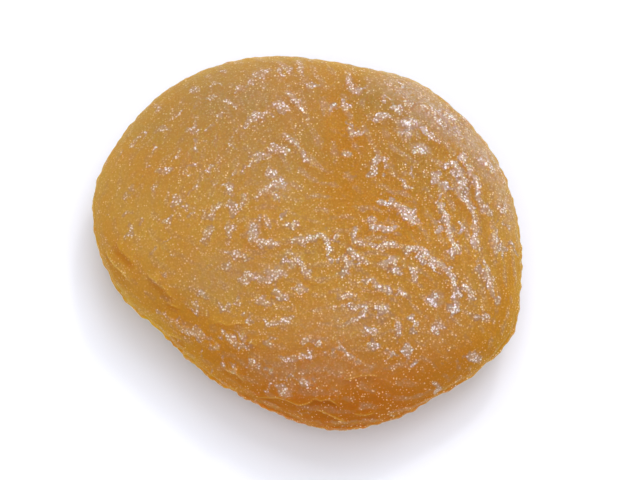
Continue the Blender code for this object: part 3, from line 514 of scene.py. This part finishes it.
def nearestOnLine(points, line, reach):
    # the points within reach of a line: which they are, how far from it, how far along it, and
    # on which side of it
    low, high = line.min(0) - reach, line.max(0) + reach
    near = np.flatnonzero(((points > low) & (points < high)).all(1))
    best = np.full(len(near), np.inf)
    place, side = np.zeros(len(near)), np.ones(len(near))
    for k, (start, run) in enumerate(zip(line, np.diff(line, axis=0))):
        offset = points[near] - start
        share = np.clip(offset @ run / (run @ run), 0, 1)
        gap2 = ((offset - share[:, None] * run) ** 2).sum(1)
        closer = gap2 < best
        best[closer] = gap2[closer]
        place[closer] = (k + share[closer]) / (len(line) - 1)
        side[closer] = np.sign(run[0] * offset[closer, 1] - run[1] * offset[closer, 0])
    return near, np.sqrt(best), place, side


def lineBump(points, line, width):
    # 1 on the line, 0 beside it, lower towards its two ends
    bump = np.zeros(len(points))
    near, gap, place, _ = nearestOnLine(points, line, 3 * width)
    grown = smoothStep(np.minimum(place, 1 - place) / foldForm["endShare"])
    fade = foldForm["endHeight"] + (1 - foldForm["endHeight"]) * grown
    bump[near] = fade * np.exp(-((gap / width) ** 2) * foldForm["steepness"])
    return bump


def layLedges(points):
    # how far each ledge lifts the skin, its thin pale brink (painted highlight), and the orange below it
    total, paleLine, stain = (np.zeros(len(points)) for _ in range(3))
    for group in ledges.values():
        furthest = 3 * max(group["reach"], group["stainReach"]) * mm
        for line in group["lines"]:
            near, gap, place, side = nearestOnLine(points, smoothLine(line), furthest)
            inward = gap * side / mm
            fade = smoothStep(np.minimum(place, 1 - place) / ledgeForm["endShare"])
            over = smoothStep(inward / ledgeForm["turn"] + 0.5)
            rise = fade * over * np.exp(-((np.maximum(inward, 0) / group["reach"]) ** 2))
            brink = np.exp(-(((inward - ledgeForm["brinkPlace"]) / ledgeForm["brinkWidth"]) ** 2))
            first, last = group["stain"]
            below = fade * (first + (last - first) * place) * (1 - over)
            below *= smoothStep(2 - gap / (group["stainReach"] * mm))
            total[near] += group["height"] * mm * rise
            paleLine[near] = np.maximum(paleLine[near], fade * group["pale"] * brink)
            stain[near] = np.maximum(stain[near], below)
    return total, paleLine, stain


def layLines(points, groups):
    # how far the lines lift the skin, and how near each point is to one; the strongest line
    # at each point wins, so that crossings don't pile up
    total, gloss = np.zeros(len(points)), np.zeros(len(points))
    for group in groups.values():
        size = group["height"] * mm
        for line in group["lines"]:
            bump = lineBump(points, smoothLine(line), group["width"] * mm)
            total = np.where(size * np.abs(bump) > np.abs(total), size * bump, total)
            gloss = np.maximum(gloss, bump)
    return total, gloss


def strayed(points):
    # the same points, led a little to and fro, so that no patch is a plain oval
    x, y = points[:, 0] / mm, points[:, 1] / mm
    aside = np.sin(3.1 * y + 1.6 * np.sin(2.3 * x)) + 0.7 * np.sin(5.9 * y - 3.7 * x + 1.0)
    ahead = np.sin(2.9 * x + 1.7 * np.sin(2.6 * y) + 2.0) + 0.7 * np.sin(6.3 * x + 3.4 * y)
    return points + apricot["stray"] * mm * np.stack([aside, ahead, 0 * x], 1)


def layPatches(points, rows, soft):
    # soft-edged ovals: 1 inside, 0 outside, the strongest at each point
    total = np.zeros(len(points))
    for x, y, long, wide, bearing, *strength in rows:
        run, rise = points[:, 0] - x * mm, points[:, 1] - y * mm
        near = np.flatnonzero(np.hypot(run, rise) < 2 * (1 + soft) * long * mm)
        run, rise, turn = run[near], rise[near], np.radians(bearing)
        along = (run * np.cos(turn) + rise * np.sin(turn)) / (long * mm)
        across = (rise * np.cos(turn) - run * np.sin(turn)) / (wide * mm)
        inside = smoothStep((1 + soft - np.hypot(along, across)) / (2 * soft))
        total[near] = np.maximum(total[near], inside * (strength or [1])[0])
    return total


def hollowsAt(points, table):
    depth = np.zeros(len(points))
    for x, y, reach, most in table:
        gap2 = (points[:, 0] - x * mm) ** 2 + (points[:, 1] - y * mm) ** 2
        depth += most * mm * np.exp(-gap2 / (2 * (reach * mm / 1.6) ** 2))
    return depth


def mouthAt(points):
    # how far the mouth and its lips move the skin outwards, and how orange they make it
    bearing = np.degrees(np.arctan2(points[:, 1], points[:, 0])) % 360
    turn = np.radians(bearing)
    ends = np.minimum(bearing - mouth["from"], mouth["to"] - bearing)
    share = np.hypot(points[:, 0], points[:, 1]) / aroundEdge(apricot["edge"], turn)
    openHere = smoothStep(ends / mouth["endFade"])
    openHere *= smoothStep((share - mouth["fromShare"]) / mouth["shareFade"])
    waver = sum(much * np.sin(turn * count) for much, count in mouth["wavers"]) * mm
    above = points[:, 2] - (aroundEdge(apricot["edgeLift"], turn) - mouth["drop"] * mm + waver)
    slit = np.exp(-((above / (mouth["width"] * mm)) ** 2))
    below = np.where(above < 0, -above, 0) / (mouth["lipSpread"] * mm)
    proud, upTo, strength = (
        np.interp(bearing, *zip(*mouth[key])) for key in ("lipProud", "stainUpTo", "stain")
    )
    lip = proud * mm * smoothStep(below * 2) * np.exp(-((below - 0.5) ** 2) * 1.2)
    stain = openHere * strength * smoothStep((upTo * mm - above) / (mouth["stainFade"] * mm))
    stain *= np.exp(-(np.minimum(above, 0) / (mouth["stainDrop"] * mm)) ** 2)
    return openHere * (lip - mouth["depth"] * mm * slit), stain


def countryAt(centre, table):
    # bearing, spacing and height of the wrinkles at a point, blended from its surroundings
    rows = np.array(table)
    gap2 = (rows[:, 0] * mm - centre[0]) ** 2 + (rows[:, 1] * mm - centre[1]) ** 2
    share = np.exp(-gap2 / (2 * (rows[:, 5] * mm) ** 2)) + 1e-9
    share /= share.sum()
    double = np.radians(rows[:, 2] * 2)
    bearing = np.arctan2((share * np.sin(double)).sum(), (share * np.cos(double)).sum()) / 2
    return bearing, (share * rows[:, 3]).sum() * mm, (share * rows[:, 4]).sum() * mm


def wrinkleField(points, ball, normals, patches, seed, wander, fine=False):
    # many small patches of parallel folds, each along its country's bearing
    rng = np.random.default_rng(seed)
    wave, cover, size = (np.zeros(len(points)) for _ in range(3))
    step = np.pi * (3 - np.sqrt(5))
    order = np.argsort(points[:, 0])
    sortedX = points[order, 0]
    for k in range(patches):
        level = 1 - (2 * k + 1) / patches
        flat = np.sqrt(1 - level**2)
        aim = np.array([flat * np.cos(k * step), flat * np.sin(k * step), level])
        middle = int(np.argmax(ball @ aim))
        centre, normal = points[middle], normals[middle]
        bearing, spacing, height = countryAt(centre, wrinkles["top" if normal[2] > 0 else "under"])
        if fine:
            spacing, height = wrinkles["fineSpacing"] * mm, wrinkles["fineHeight"] * mm
        bearing += rng.normal(0, wander)
        phase = rng.uniform(0, 2 * np.pi)
        along = np.array([np.cos(bearing), np.sin(bearing), 0.0])
        across = np.cross(normal, along)
        across /= np.linalg.norm(across) + 1e-12
        reach = wrinkles["reach"] * spacing
        furthest = wrinkles["cutOff"] * reach
        first, last = np.searchsorted(sortedX, [centre[0] - furthest, centre[0] + furthest])
        near = order[first:last]
        near = near[(np.abs(points[near] - centre) < furthest).all(1)]
        offset = points[near] - centre
        weight = np.exp(-(offset**2).sum(1) / (2 * reach**2))
        wave[near] += weight * np.cos(2 * np.pi / spacing * (offset @ across) + phase)
        cover[near] += weight**2
        size[near] += weight**2 * height
    wave /= np.sqrt(cover / 2) + 1e-9
    crest = 1 / (1 + np.exp(-wrinkles["steepness"] * wave))
    form = 2 * (crest ** wrinkles["crestPower"] - wrinkles["meanCrest"])
    return size / (cover + 1e-12) * form, crest


def ofVertices(mesh, name):
    flat = np.zeros(len(mesh.vertices) * 3, np.float32)
    mesh.vertices.foreach_get(name, flat)
    return flat.reshape(-1, 3).astype(float)


def setPoints(mesh, points):
    mesh.vertices.foreach_set("co", points.astype(np.float32).ravel())
    mesh.update()


def addAttribute(mesh, name, values):
    layer = mesh.attributes.new(name, "FLOAT", "POINT")
    layer.data.foreach_set("value", values.astype(np.float32))


def roughFruit():
    # a cube cut finely enough for every fold, before it is shaped
    bpy.ops.object.select_all(action="DESELECT")
    bpy.ops.mesh.primitive_cube_add(size=2, location=(0, 0, 0))
    fruit = bpy.context.object
    fruit.name = "apricot"
    bpy.ops.object.mode_set(mode="EDIT")
    bpy.ops.mesh.select_all(action="SELECT")
    bpy.ops.mesh.subdivide(number_cuts=apricot["firstCuts"])
    bpy.ops.mesh.subdivide(number_cuts=apricot["secondCuts"])
    bpy.ops.object.mode_set(mode="OBJECT")
    return fruit


def nearEdge(ball, drop, spread):
    # 1 in a band round the fruit, a little below its edge, and 0 away from there
    return np.exp(-((ball[:, 2] + drop) / spread) ** 2)


def frillAt(points, ball):
    turn = np.arctan2(points[:, 1], points[:, 0])
    broad, narrow = apricot["frillCounts"]
    wave = np.sin(turn * broad + 3 * np.sin(turn * 5))
    wave += 0.8 * np.sin(turn * narrow + 6 * np.sin(turn * 3) + 2 * points[:, 2] / mm)
    return nearEdge(ball, *apricot["frillBand"]) * wave * apricot["frill"] * mm


def wrinklesAt(points, ball, normals, raised):
    # how far the wrinkles lift the skin, how far the broader ones alone do, and their crests
    seed = wrinkles["seed"]
    soft, crest = wrinkleField(points, ball, normals, wrinkles["patches"], seed, wrinkles["wander"])
    fine, _ = wrinkleField(
        points, ball, normals, wrinkles["finePatches"], seed + 1, wrinkles["fineWander"], fine=True
    )
    fromRest = np.linalg.norm(points[:, :2], axis=1) / (apricot["restReach"] * mm)
    pressed = np.where(ball[:, 2] < 0, smoothStep(fromRest - apricot["restFade"]), 1)
    free = 1 - apricot["quiet"] * np.clip(raised / (apricot["quietHeight"] * mm), 0, 1)
    return pressed * free * (soft + fine), soft, crest


def settled(points):
    # the fruit moved over its place, with its underside pressed flat where it rests
    low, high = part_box(apricot["node"])
    middle = (points.min(0) + points.max(0)) / 2
    points[:, :2] += np.array([(low.x + high.x) / 2, (low.y + high.y) / 2]) - middle[:2]
    points[:, 2] -= points[:, 2].min() + apricot["restTrim"] * mm
    points[:, 2] = np.maximum(points[:, 2], low.z)
    return points


def shapeFruit(fruit):
    mesh = fruit.data
    ball = roundOff(ofVertices(mesh, "co"))
    points = pillow(ball)
    top, under = (smoothStep(way * ball[:, 2] / apricot["edgeFade"]) for way in (1, -1))
    points[:, 2] += under * hollowsAt(points, apricot["underHollows"])
    points[:, 2] -= top * hollowsAt(points, apricot["topHollows"])
    setPoints(mesh, points)
    normals = ofVertices(mesh, "normal")
    lip, stain = mouthAt(points)
    # lines are laid on the plain top skin, and the underside is kept a metre away from them
    plain = np.where(ball[:, 2:] > -0.2, topPoint(points[:, 0], points[:, 1]), 1.0)
    raised, gloss = (top * made for made in layLines(plain, folds))
    sunk = top * layLines(plain, creases)[0]
    patches = top * layPatches(strayed(points), shine, apricot["patchSoftness"])
    raised = np.maximum(raised, apricot["patchRise"] * mm * patches)
    stepped, paleLine, ledgeStain = layLedges(plain)
    print("folds laid")
    wrinkled, soft, crest = wrinklesAt(points, ball, normals, raised)
    print("wrinkles laid")
    looks = {
        "foldHeight": np.clip((raised + sunk + soft) / (apricot["foldSpan"] * mm), -1, 1),
        "mouthStain": np.maximum(stain, ledgeStain),
        "paleLine": paleLine,
        "gloss": np.maximum(gloss ** apricot["glossPower"], patches),
        "crest": crest,
        # painted sheen: the window's grey-lilac reflection laid into the colour in soft ovals
        "paintedSheen": top * layPatches(points, paintedSheens, apricot["sheenAndSpotSoftness"]),
        "warmth": top * layPatches(points, warmSpots, apricot["sheenAndSpotSoftness"]),
        "edgeward": apricot["edgeTint"] * nearEdge(ball, *apricot["edgeBand"]),
    }
    lift = lip + raised + sunk + top * stepped + wrinkled + frillAt(points, ball)
    setPoints(mesh, settled(points + normals * lift[:, None]))
    for name, values in looks.items():
        addAttribute(mesh, name, values)
    mesh.shade_smooth()


# The skin

skin = {
    "amber": (0.54, 0.305, 0.068, 1),
    "yellow": (0.54, 0.33, 0.077, 1),
    # painted shade: darker towards the back, offsetting the window light that falls there
    "back": (0.40, 0.238, 0.066, 1),
    "orange": (0.53, 0.24, 0.037, 1),
    "warm": (0.52, 0.235, 0.023, 1),
    "deepOrange": (0.40, 0.12, 0.005, 1),
    # painted highlight along the thin brinks of the lips
    "paleEdge": (0.80, 0.50, 0.10, 1),
    "edge": (0.46, 0.245, 0.006, 1),
    # darker, deeper orange towards the front: partly the fruit's own colour, partly painted shade
    "front": (0.46, 0.154, 0.012, 1),
    # painted sheen, and the lilac-white painted highlight where it is strongest
    "paintedSheen": (0.52, 0.42, 0.34, 1),
    "paintedHighlight": (0.72, 0.64, 0.66, 1),
    # painted glints: the creamy colours laid on the brightest grains
    "lonePaintedGlint": (0.80, 0.55, 0.21, 1),
    "paintedGlint": (0.76, 0.66, 0.63, 1),
    # painted shade between the grains, greyer in the glossy patches
    "gap": (0.34, 0.152, 0.022, 1),
    "greyGap": (0.36, 0.205, 0.10, 1),
    "patchSheen": 0.33,        # how far a glossy patch takes the painted sheen's colour
    "grainSize": 0.22,      # from one grain of the skin to the next
    "grainDepth": 0.04,
    "shakeSize": 1.2,       # the grains are shaken out of line by a noise this many grains
    "shake": 0.9,           # wide, by this many grains
}

# The noises that break the skin up: size, detail and roughness
noises = {
    "cloud": (7.0, 3.0, 0.5),
    "patchy": (2.2, 2.0, 0.5),
    "ragged": (0.55, 3.0, 0.6),
    "flecks": (0.16, 1.0, 0.5),
}

# How each part of the look comes in: from which value of what drives it to which, then what it
# is at the first and at the second. The first five are driven by the place on the fruit.
ranges = {
    "leftward": (6, -18, 0, 1),
    "rightward": (-4, 14, 1, 1.75),
    "backward": (0, 12, 0, 1),
    "frontward": (-6, -18, 0, 1),
    "foremost": (-10, -16, 0, 1),
    # the flesh's colour
    "clouded": (0.42, 0.72, 0, 0.6),
    # painted shade: the folds' valleys are darkened to a deeper orange
    "valley": (-0.1, -0.9, 0, 0.8),
    "mottled": (0.35, 0.65, 0.3, 1.4),
    # how far the strongest painted sheen turns into the lilac-white painted highlight
    "paintedHighlightShare": (0.9, 2, 0, 1),
    "freckled": (0.5, 0.75, 0, 0.35),
    "stained": (0, 1, 0, 0.7),
    "paled": (0.2, 1, 0, 0.7),
    # the glossy patches
    "frayed": (0.25, 0.75, -0.45, 0.45),
    "drifting": (0.3, 0.65, -0.3, 0.1),
    "glossy": (0.2, 0.85, 0, 1),
    "crestFrayed": (0.2, 0.8, -0.3, 0.3),
    "crestGlossy": (0.7, 1.15, 0, 0.5),
    # the grains: their size, their edge, and how bright those off and on the patches are
    "crowding": (0, 1, 0, 0.13),
    "uneven": (0.2, 0.8, -0.06, 0.06),
    "grainEdge": (0.35, 0.14, 0, 1),
    "grainHeight": (0, 0.6, 1, 0),
    "lone": (0.45, 0.95, 0, 0.8),
    "loneLeft": (0, 1, 1.4, 1.15),
    "lonePatchy": (0.38, 0.6, 0.35, 1.25),
    "loneWarm": (0, 0.8, 1, 0.35),
    "many": (0.25, 0.75, 0.25, 1),
    "manyLeft": (0, 1, 1, 1.15),
    "flecked": (0.35, 0.55, 0.5, 1),
    # how far the brightest grains are painted with a glint colour
    "glintPainted": (0, 0.8, 0, 0.75),
    "shining": (0, 1, 0.5, 1),
    # between the grains: the gloss that is left, and the painted shade
    "between": (0.25, 0.65, 0, 1),
    "hazy": (0, 1, 0.2, 0.8),
    "hazeBetween": (0, 1, 1.2, 0.65),
    "thinLeft": (0, 1, 1, 0.4),
    "gapGlossy": (0, 0.6, 0.3, 0.85),
    "gapLeft": (0, 1, 1, 0.85),
    "gapRight": (1, 1.75, 1, 1.3),
}


def newNode(tree, kind, **values):
    # nodes are set out in rows of twelve, in the order that they are made in
    row, column = divmod(len(tree.nodes), 12)
    made = tree.nodes.new(kind)
    made.location = (220 * column, -280 * row)
    for name, value in values.items():
        setattr(made, name, value)
    return made


def feed(sockets, values):
    # each value goes into its socket, as a link or as a number or colour
    for socket, value in zip(sockets, values):
        if isinstance(value, bpy.types.NodeSocket):
            value.id_data.links.new(value, socket)
        else:
            socket.default_value = value


def setSockets(node, values):
    feed([node.inputs[name] for name in values], values.values())


def mixColours(first, second, share):
    made = newNode(share.id_data, "ShaderNodeMix", data_type="RGBA")
    feed((made.inputs[6], made.inputs[7], made.inputs[0]), (first, second, share))
    return made.outputs[2]


def mathOf(operation, first, second):
    made = newNode(first.id_data, "ShaderNodeMath", operation=operation)
    feed(made.inputs, (first, second))
    return made.outputs[0]


def product(first, *others):
    for value in others:
        first = mathOf("MULTIPLY", first, value)
    return first


def ranged(value, name, unit=1):
    low, high, first, last = ranges[name]
    made = newNode(value.id_data, "ShaderNodeMapRange", label=name)
    feed(made.inputs, (value, low * unit, high * unit, first, last))
    return made.outputs[0]


def noiseOf(place, name):
    size, detail, roughness = noises[name]
    made = newNode(place.id_data, "ShaderNodeTexNoise", label=name)
    setSockets(made, {
        "Vector": place, "Scale": 1 / (size * mm), "Detail": detail, "Roughness": roughness,
    })
    return made.outputs["Fac"]


def lookedUp(tree):
    # everything that the skin's look is worked out from, by name
    place = newNode(tree, "ShaderNodeTexCoord").outputs["Object"]
    apart = newNode(tree, "ShaderNodeSeparateXYZ")
    feed(apart.inputs, [place])
    seen = {"place": place}
    for name in ("leftward", "rightward"):
        seen[name] = ranged(apart.outputs["X"], name, mm)
    for name in ("backward", "frontward", "foremost"):
        seen[name] = ranged(apart.outputs["Y"], name, mm)
    for name in noises:
        seen[name] = noiseOf(place, name)
    for name in ("foldHeight", "mouthStain", "paleLine", "gloss", "crest", "paintedSheen", "warmth", "edgeward"):
        seen[name] = newNode(tree, "ShaderNodeAttribute", attribute_name=name).outputs["Fac"]
    return seen


def fleshColour(seen):
    # amber flesh, tinted part by part (painted sheen and painted highlight among the tints), and how
    # strong its painted highlight is
    paintedSheenShare = product(seen["paintedSheen"], ranged(seen["ragged"], "mottled"))
    # the strongest painted sheen becomes a lilac-white painted highlight
    paintedHighlightShare = ranged(paintedSheenShare, "paintedHighlightShare")
    tints = [
        # the darker amber towards the back is painted shade
        ("yellow", seen["leftward"]), ("back", seen["backward"]),
        # the deeper orange towards the front, here and in the front tint below, is partly painted shade
        ("orange", ranged(seen["cloud"], "clouded")), ("orange", seen["frontward"]),
        # the deeper orange in the valleys is painted shade
        ("orange", ranged(seen["foldHeight"], "valley")), ("warm", seen["warmth"]),
        # painted sheen and the lilac-white painted highlight
        ("edge", seen["edgeward"]), ("front", seen["foremost"]), ("paintedSheen", paintedSheenShare), ("paintedHighlight", paintedHighlightShare),
        ("warm", ranged(seen["ragged"], "freckled")),
        ("deepOrange", ranged(seen["mouthStain"], "stained")),
        # the lips' pale brinks are a painted highlight
        ("paleEdge", ranged(seen["paleLine"], "paled")),
    ]
    colour = skin["amber"]
    for name, share in tints:
        colour = mixColours(colour, skin[name], share)
    return colour, paintedHighlightShare


def glossyPatches(seen):
    # ragged-edged patches along the folds, and weaker ones along the wrinkles' crests
    frayed = mathOf("ADD", seen["gloss"], ranged(seen["ragged"], "frayed"))
    drifted = mathOf("ADD", frayed, ranged(seen["patchy"], "drifting"))
    crest = mathOf("ADD", seen["crest"], ranged(seen["ragged"], "crestFrayed"))
    return mathOf("MAXIMUM", ranged(drifted, "glossy"), ranged(crest, "crestGlossy"))


def jostled(place):
    # the same place, shaken a little so that the grains come out uneven
    grain = skin["grainSize"] * mm
    shake = newNode(place.id_data, "ShaderNodeTexNoise")
    setSockets(shake, {"Vector": place, "Scale": 1 / (skin["shakeSize"] * grain)})
    moved = newNode(place.id_data, "ShaderNodeVectorMath", operation="MULTIPLY_ADD")
    feed(moved.inputs, (shake.outputs["Color"], [skin["shake"] * grain] * 3, place))
    return moved.outputs[0]


def grains(seen, patches):
    # how bright the grain is that each point lies in, and how far the point is from its middle
    cells = newNode(patches.id_data, "ShaderNodeTexVoronoi")
    setSockets(cells, {"Vector": jostled(seen["place"]), "Scale": 1 / (skin["grainSize"] * mm)})
    fromGrain, chance = cells.outputs["Distance"], cells.outputs["Color"]
    larger = mathOf("ADD", ranged(patches, "crowding"), ranged(chance, "uneven"))
    lit = ranged(mathOf("SUBTRACT", fromGrain, larger), "grainEdge")
    lone = product(
        ranged(chance, "lone"), ranged(seen["leftward"], "loneLeft"),
        ranged(seen["patchy"], "lonePatchy"), ranged(seen["warmth"], "loneWarm"),
    )
    many = product(ranged(chance, "many"), ranged(seen["leftward"], "manyLeft"), patches)
    strength = mathOf("MAXIMUM", lone, many)
    flecked = ranged(seen["flecks"], "flecked")
    return product(lit, strength, flecked, seen["rightward"]), fromGrain


def skinMaterial():
    made = bpy.data.materials.new("apricotSkin")
    made.use_nodes = True
    tree = made.node_tree
    seen = lookedUp(tree)
    colour, paintedHighlightShare = fleshColour(seen)
    patches = glossyPatches(seen)
    bright, fromGrain = grains(seen, patches)
    between = ranged(fromGrain, "between")

    # the patches of the left are thinner, with less haze and painted sheen under their grains
    thin = ranged(seen["leftward"], "thinLeft")
    haze = product(
        patches, ranged(paintedHighlightShare, "hazy"), ranged(between, "hazeBetween"), seen["rightward"], thin,
    )
    shining = product(bright, ranged(patches, "shining"))
    patchSheenShare = product(patches, skin["patchSheen"], thin)
    # painted sheen: the glossy patches take on the grey-lilac of a reflection
    colour = mixColours(colour, skin["paintedSheen"], patchSheenShare)

    # painted shade darkens the skin between the grains, and the brightest grains are painted creamy
    # glints
    gap = product(
        between, ranged(patches, "gapGlossy"), ranged(seen["leftward"], "gapLeft"),
        ranged(seen["rightward"], "gapRight"),
    )
    # painted shade: the skin between the grains is darkened
    gapColour = mixColours(skin["gap"], skin["greyGap"], patches)
    colour = mixColours(colour, gapColour, gap)
    white = mixColours(skin["lonePaintedGlint"], skin["paintedGlint"], patches)
    colour = mixColours(colour, white, ranged(bright, "glintPainted"))

    bump = newNode(tree, "ShaderNodeBump")
    setSockets(bump, {
        "Strength": 1.0, "Distance": skin["grainDepth"] * mm, "Height": ranged(fromGrain, "grainHeight"),
    })
    setSockets(tree.nodes["Principled BSDF"], {
        "Base Color": colour,
        "Roughness": 0.45,
        "IOR": 1.45,
        "Specular IOR Level": 0.02,
        "Subsurface Weight": 1.0,
        "Subsurface Radius": (1.0, 0.55, 0.2),
        "Subsurface Scale": 4.5 * mm,
        "Subsurface Anisotropy": 0.4,
        "Coat Weight": mathOf("MAXIMUM", shining, haze),
        "Coat Roughness": 0.32,
        "Coat IOR": 3.1,
        "Normal": bump.outputs["Normal"],
        "Coat Normal": bump.outputs["Normal"],
    })
    return made


# The studio

studio = {
    "elevation": 75,        # degrees above the floor, as the photograph looks down
    "distance": 300,        # from the fruit's middle to the camera
    "sensor": 36,
    "spanPixels": 431,      # the fruit's width in the frame
    "middlePixel": (306.7, 239.5),
    "imageSize": (640, 480),
    "floorSize": 3000,
    "floor": {"Base Color": (0.93, 0.93, 0.93, 1), "Roughness": 0.9, "Specular IOR Level": 0.1},
    "sky": {"Color": (0.95, 0.97, 1.0, 1), "Strength": 0.45},
    "lightAim": (0, 0, 6),
    # each light's place, its width and length, its power in watts and its colour
    "lights": {
        "windowLight": ((100, 300, 450), (420, 340), 1.8, (0.80, 0.85, 1.0)),
        "ceilingLight": ((50, -120, 550), (600, 500), 1.5, (0.86, 0.88, 1.0)),
        "wallLight": ((-450, -300, 300), (600, 600), 0.6, (1.0, 0.96, 0.9)),
        "lampLight": ((160, 360, 500), (60, 60), 0.4, (0.95, 0.95, 1.0)),
    },
}


def buildFloor():
    bpy.ops.object.select_all(action="DESELECT")
    bpy.ops.mesh.primitive_plane_add(size=studio["floorSize"] * mm, location=(0, 0, 0))
    floor = bpy.context.object
    floor.name = "studioFloor"
    material = bpy.data.materials.new("floorPaper")
    material.use_nodes = True
    setSockets(material.node_tree.nodes["Principled BSDF"], studio["floor"])
    floor.data.materials.append(material)


def buildLights():
    world = bpy.data.worlds.new("studioWorld")
    world.use_nodes = True
    setSockets(world.node_tree.nodes["Background"], studio["sky"])
    bpy.context.scene.world = world
    aim = Vector(studio["lightAim"]) * mm
    for name, (place, size, power, colour) in studio["lights"].items():
        light = bpy.data.lights.new(name, "AREA")
        light.shape = "RECTANGLE"
        light.size, light.size_y = (side * mm for side in size)
        light.energy = power
        light.color = colour
        holder = bpy.data.objects.new(name, light)
        holder.location = Vector(place) * mm
        holder.rotation_euler = (aim - holder.location).to_track_quat("-Z", "Y").to_euler()
        bpy.context.scene.collection.objects.link(holder)


def buildCamera(low, high):
    # the fruit fills the frame as it does in the photograph
    tilt = math.radians(studio["elevation"])
    away = Vector((0, -math.cos(tilt), math.sin(tilt)))
    upward = Vector((0, math.sin(tilt), math.cos(tilt)))
    distance = studio["distance"] * mm
    imageWidth, imageHeight = studio["imageSize"]
    perPixel = (high.x - low.x) / studio["spanPixels"]
    aside = (studio["middlePixel"][0] - imageWidth / 2) * perPixel
    down = (studio["middlePixel"][1] - imageHeight / 2) * perPixel
    camera = bpy.data.cameras.new("camera")
    camera.sensor_width = studio["sensor"]
    camera.lens = camera.sensor_width * distance / (perPixel * imageWidth)
    camera.clip_start, camera.clip_end = 0.01, 10
    holder = bpy.data.objects.new("camera", camera)
    aim = (low + high) / 2 - Vector((aside, 0, 0)) + upward * down
    holder.location = aim + away * distance
    holder.rotation_euler = (-away).to_track_quat("-Z", "Y").to_euler()
    bpy.context.scene.collection.objects.link(holder)
    bpy.context.scene.camera = holder
    bpy.context.scene.view_settings.view_transform = "Standard"


fruit = roughFruit()
print("mesh cut")
shapeFruit(fruit)
fruit.data.materials.append(skinMaterial())
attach(fruit, "root")
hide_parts(apricot["node"])
print("apricot done")

buildFloor()
buildLights()
buildCamera(*(Vector(corner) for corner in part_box(apricot["node"])))
print("studio done")
